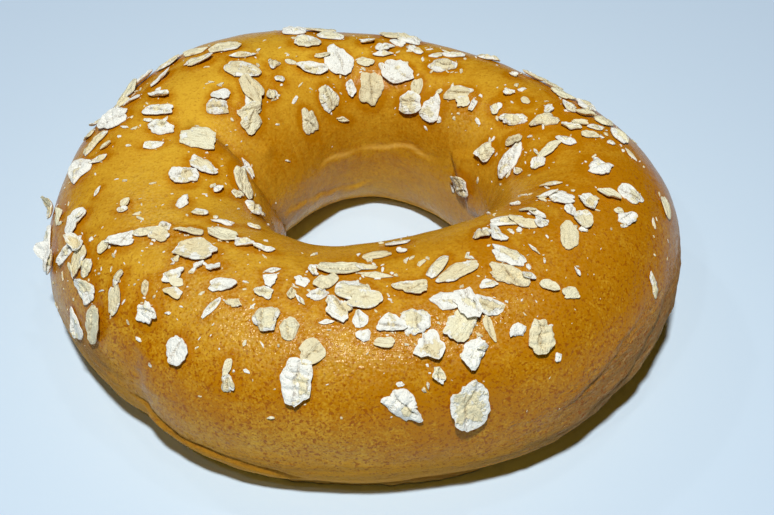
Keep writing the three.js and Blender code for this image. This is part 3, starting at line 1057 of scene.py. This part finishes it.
    def lay_small(self, finish: "OatFinish") -> None:
        """Makes the listed small flakes, joined into one piece for each side of the ring."""
        blank = FlakeBlank("small_blank", sides=24, rings=4).made()
        for side, rows in SMALL_FLAKES.items():
            made = [
                self.shaped(blank, self.lie_of_row(row), f"small_{side}_{i}")
                for i, row in enumerate(rows)
            ]
            self.dress(joined(made, f"small_flakes_{side}"), finish)
            log.info("%d small flakes laid at the %s", len(made), side)
        discard(blank)

    # -- crumbs --

    def sow_crumbs(self, finish: "OatFinish") -> None:
        """Scatters broken crumbs, thickest between the flakes, as one piece."""
        nothing_selected()
        bpy.ops.mesh.primitive_ico_sphere_add(subdivisions=1, radius=1.0)
        blank = bpy.context.object
        start = points_of(blank) * MM
        draws = self.draws
        made = []
        while len(made) < self.crumbs:
            host = self.lies[int(draws.integers(len(self.lies)))]
            away = draws.normal(0, self.crumb_reach, 2)
            found = self.crust_at(host, away)
            if found is None:
                continue
            place, facing = found
            along = unit(np.cross(facing, draws.normal(size=3)))
            across = np.cross(facing, along)
            half = 0.13 + 0.5 * draws.uniform() ** 2.4
            sizes = half * np.array([draws.uniform(*shares) for shares in self.crumb_shape])
            corners = start * sizes * draws.uniform(0.6, 1.3, (len(start), 1))
            crumb = blank.copy()
            crumb.data = blank.data.copy()
            bpy.context.scene.collection.objects.link(crumb)
            places = place + facing * 0.6 * sizes[2] + corners @ np.stack([along, across, facing])
            move_points(crumb, places)
            keep_value(crumb, "grain", corners + draws.uniform(0, 500))
            keep_value(crumb, "tone", np.full(len(start), draws.uniform()))
            keep_value(crumb, "floury", np.full(len(start), draws.uniform(0.1, 0.8)))
            keep_value(crumb, "rim", np.full(len(start), 0.6))
            keep_value(crumb, "crease", np.zeros(len(start)))
            made.append(crumb)
        discard(blank)
        self.dress(joined(made, "oat_crumbs"), finish)
        log.info("%d crumbs sown", len(made))

    def crust_at(self, host: Lie, away: np.ndarray) -> tuple[np.ndarray, np.ndarray] | None:
        """The crust beside a flake.

        Args:
            host: the flake.
            away: how far along and across it to look, in millimetres.

        Returns:
            The place on the crust and the way it faces, or None where there is none near.
        """
        x, y = np.array([away[0]]), np.array([away[1]])
        start = host.placed(x, y, np.array([8.0]))[0]
        place, facing, _, _ = self.crust.ray_cast(Vector(start), Vector(-host.normal), 20.0)
        if place is None or facing.dot(Vector(host.normal)) < 0.5:
            return None
        return np.array(place), np.array(facing)

    def pool_glaze_and_paint_shade(self) -> None:
        """Stores on the bread how near each place is to the rim of a flake, where glaze pools and a
        painted shadow darkens the crust.
        """
        places = points_of(self.bread.piece)
        glaze_pool_and_shade = np.zeros(len(places))
        width = 0.9
        for lie in self.lies:
            away = places - lie.centre
            near = np.flatnonzero((np.abs(away) < lie.span + 2 * width).all(1))
            x, y = away[near] @ lie.along, away[near] @ lie.across
            share = np.hypot(2 * x / lie.length, 2 * y / lie.width)
            out = (share - 1) * (lie.length + lie.width) / 4
            glaze_pool_and_shade[near] = np.maximum(glaze_pool_and_shade[near], bell(np.maximum(out, 0.0), width))
        keep_value(self.bread.piece, "glaze_pool_and_shade", glaze_pool_and_shade)

    def dress(self, piece: bpy.types.Object, finish: "OatFinish") -> None:
        """Gives a piece of oat its finish and its body."""
        piece.data.materials.clear()
        piece.data.materials.append(finish.made())
        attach(piece, BODY)


def tree_of(piece: bpy.types.Object) -> BVHTree:
    """A mesh object's faces as a tree that rays can be cast at, in millimetres."""
    faces = [tuple(face.vertices) for face in piece.data.polygons]
    return BVHTree.FromPolygons([tuple(p) for p in points_of(piece)], faces)


def discard(piece: bpy.types.Object) -> None:
    """Removes a blank and its mesh."""
    mesh = piece.data
    bpy.data.objects.remove(piece)
    bpy.data.meshes.remove(mesh)


def joined(pieces: Sequence[bpy.types.Object], name: str) -> bpy.types.Object:
    """Several mesh objects as one, under a new name."""
    nothing_selected()
    for piece in pieces:
        piece.select_set(True)
    bpy.context.view_layer.objects.active = pieces[0]
    bpy.ops.object.join()
    whole = bpy.context.object
    whole.name = whole.data.name = name
    return whole


# ---- finishes ----


class Bench:
    """The node tree of one finish, and the one place where its nodes are made."""

    def __init__(self, name: str) -> None:
        """Starts a finish with its shader."""
        self.material = bpy.data.materials.new(name)
        self.material.use_nodes = True
        self.tree = self.material.node_tree
        self.shader = self.tree.nodes["Principled BSDF"]

    def feed(self, socket: bpy.types.NodeSocket, value: object) -> None:
        """Links a wire to a socket, or sets a number, a vector or a colour on it."""
        if isinstance(value, Wire):
            self.tree.links.new(value.socket, socket)
        elif socket.type == "RGBA":
            socket.default_value = (*value, 1.0)
        else:
            socket.default_value = value

    def node(self, kind: str, settings: dict | None = None, sockets: dict | None = None,
             output: int | str = 0) -> "Wire":
        """Adds a node.

        Args:
            kind: the node's type.
            settings: its properties.
            sockets: what its input sockets get, by name or number.
            output: which output socket the wire comes from.

        Returns:
            The wire from that output.
        """
        made = self.tree.nodes.new(kind)
        for key, value in (settings or {}).items():
            setattr(made, key, value)
        for key, value in (sockets or {}).items():
            self.feed(made.inputs[key], value)
        return Wire(self, made.outputs[output])

    def stored(self, name: str) -> "Wire":
        """A number kept on the mesh."""
        return self.node("ShaderNodeAttribute", {"attribute_name": name}, output="Fac")

    def stored_vector(self, name: str) -> "Wire":
        """A vector kept on the mesh."""
        return self.node("ShaderNodeAttribute", {"attribute_name": name}, output="Vector")

    def speckle(self, place: "Wire", scale: float, detail: float = 2.0,
                roughness: float = 0.5) -> "Wire":
        """Noise between 0 and 1, with so many lumps to each unit of the place."""
        sockets = {"Vector": place, "Scale": scale, "Detail": detail, "Roughness": roughness}
        return self.node("ShaderNodeTexNoise", sockets=sockets)

    def stretched(self, place: "Wire", factors: tuple[float, float, float]) -> "Wire":
        """A place scaled differently along each axis."""
        return self.node("ShaderNodeVectorMath", {"operation": "MULTIPLY"}, {0: place, 1: factors})

    def rise(self, value: "Wire", low: float, high: float) -> "Wire":
        """0 below low, 1 above high and a smooth rise between them."""
        return self.node(
            "ShaderNodeMapRange", {"interpolation_type": "SMOOTHSTEP"},
            {"Value": value, "From Min": low, "From Max": high, "To Min": 0.0, "To Max": 1.0},
        )

    def mixed(self, factor: "Wire", first: "Wire | Colour", second: "Wire | Colour") -> "Wire":
        """The first colour where the factor is 0 and the second where it is 1."""
        sockets = {0: factor, 6: first, 7: second}
        return self.node("ShaderNodeMix", {"data_type": "RGBA"}, sockets, output=2)

    def bumped(self, relief: "Wire") -> "Wire":
        """The normal of a surface with a relief given in millimetres."""
        sockets = {"Strength": 1.0, "Distance": MM, "Height": relief}
        return self.node("ShaderNodeBump", sockets=sockets)

    def set(self, name: str, value: object) -> None:
        """Sets or links one socket of the shader."""
        self.feed(self.shader.inputs[name], value)


@dataclass(frozen=True)
class Wire:
    """A node's output socket that adds a Math node for each operator used on it."""

    bench: Bench
    socket: bpy.types.NodeSocket

    def _math(self, operation: str, first: object, second: object) -> "Wire":
        """A Math node with two inputs."""
        return self.bench.node("ShaderNodeMath", {"operation": operation}, {0: first, 1: second})

    def __add__(self, other: "Wire | float") -> "Wire":
        """The sum."""
        return self._math("ADD", self, other)

    def __radd__(self, other: float) -> "Wire":
        """The sum, with a number first."""
        return self._math("ADD", other, self)

    def __sub__(self, other: "Wire | float") -> "Wire":
        """The difference."""
        return self._math("SUBTRACT", self, other)

    def __rsub__(self, other: float) -> "Wire":
        """The difference from a number."""
        return self._math("SUBTRACT", other, self)

    def __mul__(self, other: "Wire | float") -> "Wire":
        """The product."""
        return self._math("MULTIPLY", self, other)

    def __rmul__(self, other: float) -> "Wire":
        """The product, with a number first."""
        return self._math("MULTIPLY", other, self)

    def __abs__(self) -> "Wire":
        """The value without its sign."""
        return self.bench.node("ShaderNodeMath", {"operation": "ABSOLUTE"}, {0: self})

    def held(self) -> "Wire":
        """The value kept between 0 and 1."""
        return self.bench.node("ShaderNodeClamp", sockets={"Value": self, "Min": 0.0, "Max": 1.0})


@dataclass(frozen=True)
class CrustFinish:
    """The egg-glazed, baked crust.

    Attributes:
        honey, amber: the lightest and the deepest colour of the glazed crown; amber also carries the
            painted shade along the seam, above the lip of the hole and round the flakes.
        tan: the matt band next to the tray.
        grey: the dry wrinkled skin.
        brown: freckles.
        straw_and_sheen: the thin pale edges of folds and of the foot, the painted highlight along the
            lip of the hole and the painted sheen round the glints.
        flour: the pale threads on the dry skin.
        shade: the dark bottoms of folds.
        shine, shine_tint: how strongly the glaze reflects, and in what colour.
    """

    honey: Colour = (0.74, 0.412, 0.031)
    amber: Colour = (0.48, 0.18, 0.001)
    tan: Colour = (0.57, 0.25, 0.010)
    grey: Colour = (0.34, 0.175, 0.055)
    brown: Colour = (0.32, 0.08, 0.001)
    straw_and_sheen: Colour = (0.77, 0.51, 0.136)
    flour: Colour = (0.62, 0.41, 0.20)
    shade: Colour = (0.24, 0.08, 0.003)
    shine: float = 0.21
    shine_tint: Colour = (1.0, 0.92, 0.74)

    def made(self) -> bpy.types.Material:
        """Builds the crust's nodes."""
        bench = Bench("baked_crust")
        place = bench.node("ShaderNodeTexCoord", output="Object")
        place = bench.stretched(place, (1 / MM, 1 / MM, 1 / MM))
        swirl = bench.stored_vector("swirl")
        tone, tan, dry = (bench.stored(name) for name in ("tone", "tan", "dry"))
        freckled, sparkling = bench.stored("freckled"), bench.stored("sparkling")

        broad = bench.speckle(place, 0.11, 3.0)
        fine = bench.speckle(place, 0.85, 5.0, 0.7)
        streaks = bench.speckle(bench.stretched(swirl, (1.0, 1.0, 0.3)), 0.55, 2.0)
        rolls = bench.speckle(bench.stretched(swirl, (0.3, 0.3, 1.0)), 1.5, 4.0, 0.7)

        pepper = bench.speckle(place, 2.3, 1.0)
        blotches = 0.9 * (broad - 0.5) + 0.5 * (streaks - 0.5)
        blotches = blotches + (0.6 + 0.7 * freckled) * (fine - 0.5)
        blotches = blotches + (0.7 + 0.8 * freckled) * (pepper - 0.5)
        # painted shade: round each flake the crust darkens towards amber, partly pooled glaze and
        # partly a painted shadow
        depth = (tone + blotches + 0.75 * bench.stored("glaze_pool_and_shade")).held()
        colour = bench.mixed(depth, self.honey, self.amber)
        spots = bench.rise(bench.speckle(place, 1.2, 3.0, 0.6), 0.54, 0.66)
        small_spots = bench.rise(bench.speckle(place, 2.4, 1.0), 0.57, 0.68)
        spotted = ((0.28 + 0.9 * freckled) * (spots + 0.7 * small_spots)).held()
        band = bench.rise(tan + 0.5 * (fine - 0.5) + 0.35 * (rolls - 0.5), 0.15, 0.85)
        colour = bench.mixed(0.85 * band, colour, self.tan)
        skin = bench.rise(dry + 1.1 * (rolls - 0.5) + 0.3 * (fine - 0.5), 0.15, 0.75)
        colour = bench.mixed(0.75 * skin, colour, self.grey)
        threads = bench.speckle(bench.stretched(swirl, (0.4, 0.4, 1.2)), 1.8, 3.0)
        threads = bench.rise(threads, 0.54, 0.66)
        colour = bench.mixed(0.35 * (skin * threads), colour, self.flour)
        colour = bench.mixed(0.85 * spotted, colour, self.brown)
        # painted sheen: the crust is paled towards straw round the glints
        painted_sheen = bench.rise(bench.speckle(place, 1.9, 2.0, 0.6), 0.40, 0.62)
        colour = bench.mixed(0.35 * (sparkling * painted_sheen), colour, self.straw_and_sheen)
        # the pale lines of the folds and of the foot; along the lip of the hole this is a painted
        # highlight
        colour = bench.mixed((0.7 * bench.stored("pale_and_lit_line")).held(), colour, self.straw_and_sheen)
        # painted shade in the creases of the folds and beside the seam
        colour = bench.mixed((0.6 * bench.stored("painted_shade_line")).held(), colour, self.shade)

        matt = (band + skin).held()
        peel = bench.speckle(place, 0.85, 2.0, 0.5)
        ripple = bench.speckle(place, 1.5, 1.0, 0.5)
        relief = 0.14 * peel + 0.31 * (sparkling * ripple) + 0.5 * (skin * rolls)
        relief = relief + (0.025 + 0.09 * band) * bench.speckle(place, 2.4, 3.0, 0.6)

        bench.set("Base Color", colour)
        bench.set("Roughness", (0.26 + 0.5 * matt + 0.3 * (fine - 0.5) - 0.05 * sparkling).held())
        bench.set("Specular IOR Level", self.shine)
        bench.set("Specular Tint", self.shine_tint)
        bench.set("Normal", bench.bumped(relief))
        return bench.material


@dataclass(frozen=True)
class OatFinish:
    """Rolled oats: cream faces with fine bran lines, and white flour where they are broken.

    Attributes:
        cream, oatmeal: the lightest and the deepest face colour.
        flour: broken white faces.
        bran: the lines along the grain.
        speck: small brown specks.
    """

    cream: Colour = (0.94, 0.87, 0.61)
    oatmeal: Colour = (0.87, 0.74, 0.45)
    flour: Colour = (0.97, 0.95, 0.87)
    bran: Colour = (0.45, 0.29, 0.13)
    speck: Colour = (0.16, 0.09, 0.05)

    def made(self) -> bpy.types.Material:
        """Builds the oats' nodes once and gives the same finish to every piece."""
        known = bpy.data.materials.get("rolled_oat")
        if known:
            return known
        bench = Bench("rolled_oat")
        grain = bench.stored_vector("grain")
        tone, floury = bench.stored("tone"), bench.stored("floury")
        cloud = bench.speckle(grain, 0.45, 2.0)
        lines = bench.speckle(bench.stretched(grain, (0.16, 1.0, 1.0)), 2.2, 3.0, 0.6)
        fine = bench.speckle(grain, 3.2, 2.0)

        face = bench.mixed((tone + 1.2 * (cloud - 0.5)).held(), self.cream, self.oatmeal)
        bran = bench.rise(lines, 0.56, 0.70)
        face = bench.mixed(0.55 * bran, face, self.bran)
        patchy = bench.speckle(grain, 0.4, 3.0, 0.65)
        broken = floury + 1.9 * (patchy - 0.5) + 0.35 * (bench.stored("rim") - 0.6)
        broken = bench.rise(broken, 0.42, 0.60)
        face = bench.mixed(0.92 * broken, face, self.flour)
        cracks = 1.0 - bench.rise(abs(bench.speckle(grain, 0.5, 2.0) - 0.5), 0.0, 0.018)
        here = bench.rise(bench.speckle(grain, 0.33, 0.0), 0.52, 0.62)
        face = bench.mixed(0.5 * (cracks * here), face, self.bran)
        face = bench.mixed(0.5 * bench.rise(fine, 0.68, 0.78), face, self.speck)
        creased = 0.6 * bench.stored("crease") * bench.rise(fine, 0.35, 0.6)
        face = bench.mixed(creased.held(), face, self.speck)

        grains = bench.speckle(grain, 3.4, 3.0, 0.6)
        relief = 0.30 * lines * (1.0 - broken) + 0.24 * grains + 0.26 * bench.speckle(grain, 1.2, 2.0)
        bench.set("Base Color", face)
        bench.set("Roughness", (0.72 + 0.25 * broken + 0.2 * (fine - 0.5)).held())
        bench.set("Specular IOR Level", 0.3)
        bench.set("Normal", bench.bumped(relief))
        return bench.material


# ---- the table and the light ----


@dataclass(frozen=True)
class Lamp:
    """A round soft lamp that faces the bagel.

    Attributes:
        name: its name.
        towards: the direction in which it lies.
        distance: how far away it is, in millimetres.
        size: how wide it is, in millimetres.
        power: how strong it is, in watts.
    """

    name: str
    towards: tuple[float, float, float]
    distance: float
    size: float
    power: float


@dataclass(frozen=True)
class Stage:
    """A plain pale table, soft light from above and a camera that looks down on the bagel.

    Sizes are in millimetres and angles in degrees. Places are measured from the middle of the
    construction box.

    Attributes:
        aim: the place that the camera looks at.
        elevation: how far it looks down.
        distance: how far it is from there.
        lens: its focal length.
        table_size: the length of a side of the table.
        table_colour, table_falloff_colour: its colour in the middle, and the darker colour away from
            it, a painted fall-off of the light.
        table_fade: how far from the middle the second colour is reached.
        lamps: the lamps, which all have the lamp_colour.
        room_colour, room_strength: the faint light from all round.
    """

    aim: tuple[float, float, float] = (4.8, -3.6, -4.4)
    elevation: float = 46.0
    distance: float = 315.0
    lens: float = 76.5
    table_size: float = 3000.0
    table_colour: Colour = (0.69, 0.815, 0.925)
    table_falloff_colour: Colour = (0.57, 0.69, 0.83)
    table_fade: float = 150.0
    lamps: tuple[Lamp, ...] = (
        Lamp("key", (-0.03, -0.34, 0.94), 1100.0, 84.0, 12.3),
        Lamp("front_left", (-0.28, -0.45, 0.85), 600.0, 24.0, 0.15),
        Lamp("top", (0.15, 0.08, 0.98), 600.0, 24.0, 0.13),
        Lamp("back_left", (-0.45, 0.30, 0.84), 600.0, 26.0, 0.14),
    )
    lamp_colour: Colour = (0.93, 0.965, 0.975)
    room_colour: Colour = (1.0, 0.74, 0.45)
    room_strength: float = 0.005

    def set_up(self) -> None:
        """Makes the table, the lights and the camera."""
        low, high = (np.array(corner) / MM for corner in construction_box)
        middle = (low + high) / 2
        self.make_table()
        self.make_world()
        for lamp in self.lamps:
            self.make_lamp(lamp, middle)
        self.make_camera(middle + self.aim)
        bpy.context.scene.view_settings.view_transform = "Standard"

    def make_table(self) -> None:
        """A wide flat table top."""
        nothing_selected()
        below = -0.02 * MM  # a hair under the base, so that the two faces don't coincide
        bpy.ops.mesh.primitive_plane_add(size=self.table_size * MM, location=(0, 0, below))
        table = bpy.context.object
        table.name = "table"
        bench = Bench("pale_table")
        place = bench.node("ShaderNodeTexCoord", output="Object")
        length = {"operation": "LENGTH"}
        away = bench.node("ShaderNodeVectorMath", length, {0: place}, output="Value")
        # painted fall-off of the light: the table's colour darkens away from the middle
        falling = bench.rise(away, 0.0, self.table_fade * MM)
        bench.set("Base Color", bench.mixed(falling, self.table_colour, self.table_falloff_colour))
        bench.set("Roughness", 0.6)
        bench.set("Specular IOR Level", 0.3)
        table.data.materials.append(bench.material)

    def make_world(self) -> None:
        """Faint light from all round."""
        world = bpy.data.worlds.new("room")
        bpy.context.scene.world = world
        world.use_nodes = True
        background = world.node_tree.nodes["Background"]
        background.inputs["Color"].default_value = (*self.room_colour, 1.0)
        background.inputs["Strength"].default_value = self.room_strength

    def make_lamp(self, lamp: Lamp, middle: np.ndarray) -> None:
        """Adds a lamp that faces the middle of the bagel."""
        data = bpy.data.lights.new(lamp.name, "AREA")
        data.shape = "DISK"
        data.size = lamp.size * MM
        data.energy = lamp.power
        data.color = self.lamp_colour
        light = bpy.data.objects.new(lamp.name, data)
        bpy.context.scene.collection.objects.link(light)
        direction = Vector(lamp.towards).normalized()
        light.location = Vector(middle * MM) + direction * lamp.distance * MM
        light.rotation_euler = direction.to_track_quat("Z", "Y").to_euler()

    def make_camera(self, target: np.ndarray) -> None:
        """Adds the camera, which looks along +Y and down."""
        data = bpy.data.cameras.new("camera")
        data.lens = self.lens
        camera = bpy.data.objects.new("camera", data)
        bpy.context.scene.collection.objects.link(camera)
        lean = math.radians(self.elevation)
        back = np.array([0.0, -math.cos(lean), math.sin(lean)]) * self.distance
        camera.location = Vector((target + back) * MM)
        camera.rotation_euler = (math.pi / 2 - lean, 0.0, 0.0)
        bpy.context.scene.camera = camera


def main() -> None:
    """Builds the bagel and the stage."""
    logging.basicConfig(level=logging.INFO, format="%(message)s")
    Stage().set_up()
    roll = Roll()
    bread = BakedRing(roll)
    bread.build()
    bread.dress(CrustFinish())
    log.info("%s: %d faces", bread.piece.name, len(bread.piece.data.polygons))
    topping = OatTopping(roll, bread)
    finish = OatFinish()
    topping.lay_large(finish)
    topping.lay_small(finish)
    topping.sow_crumbs(finish)
    topping.pool_glaze_and_paint_shade()
    nothing_selected()


if __name__ == "__main__":
    main()
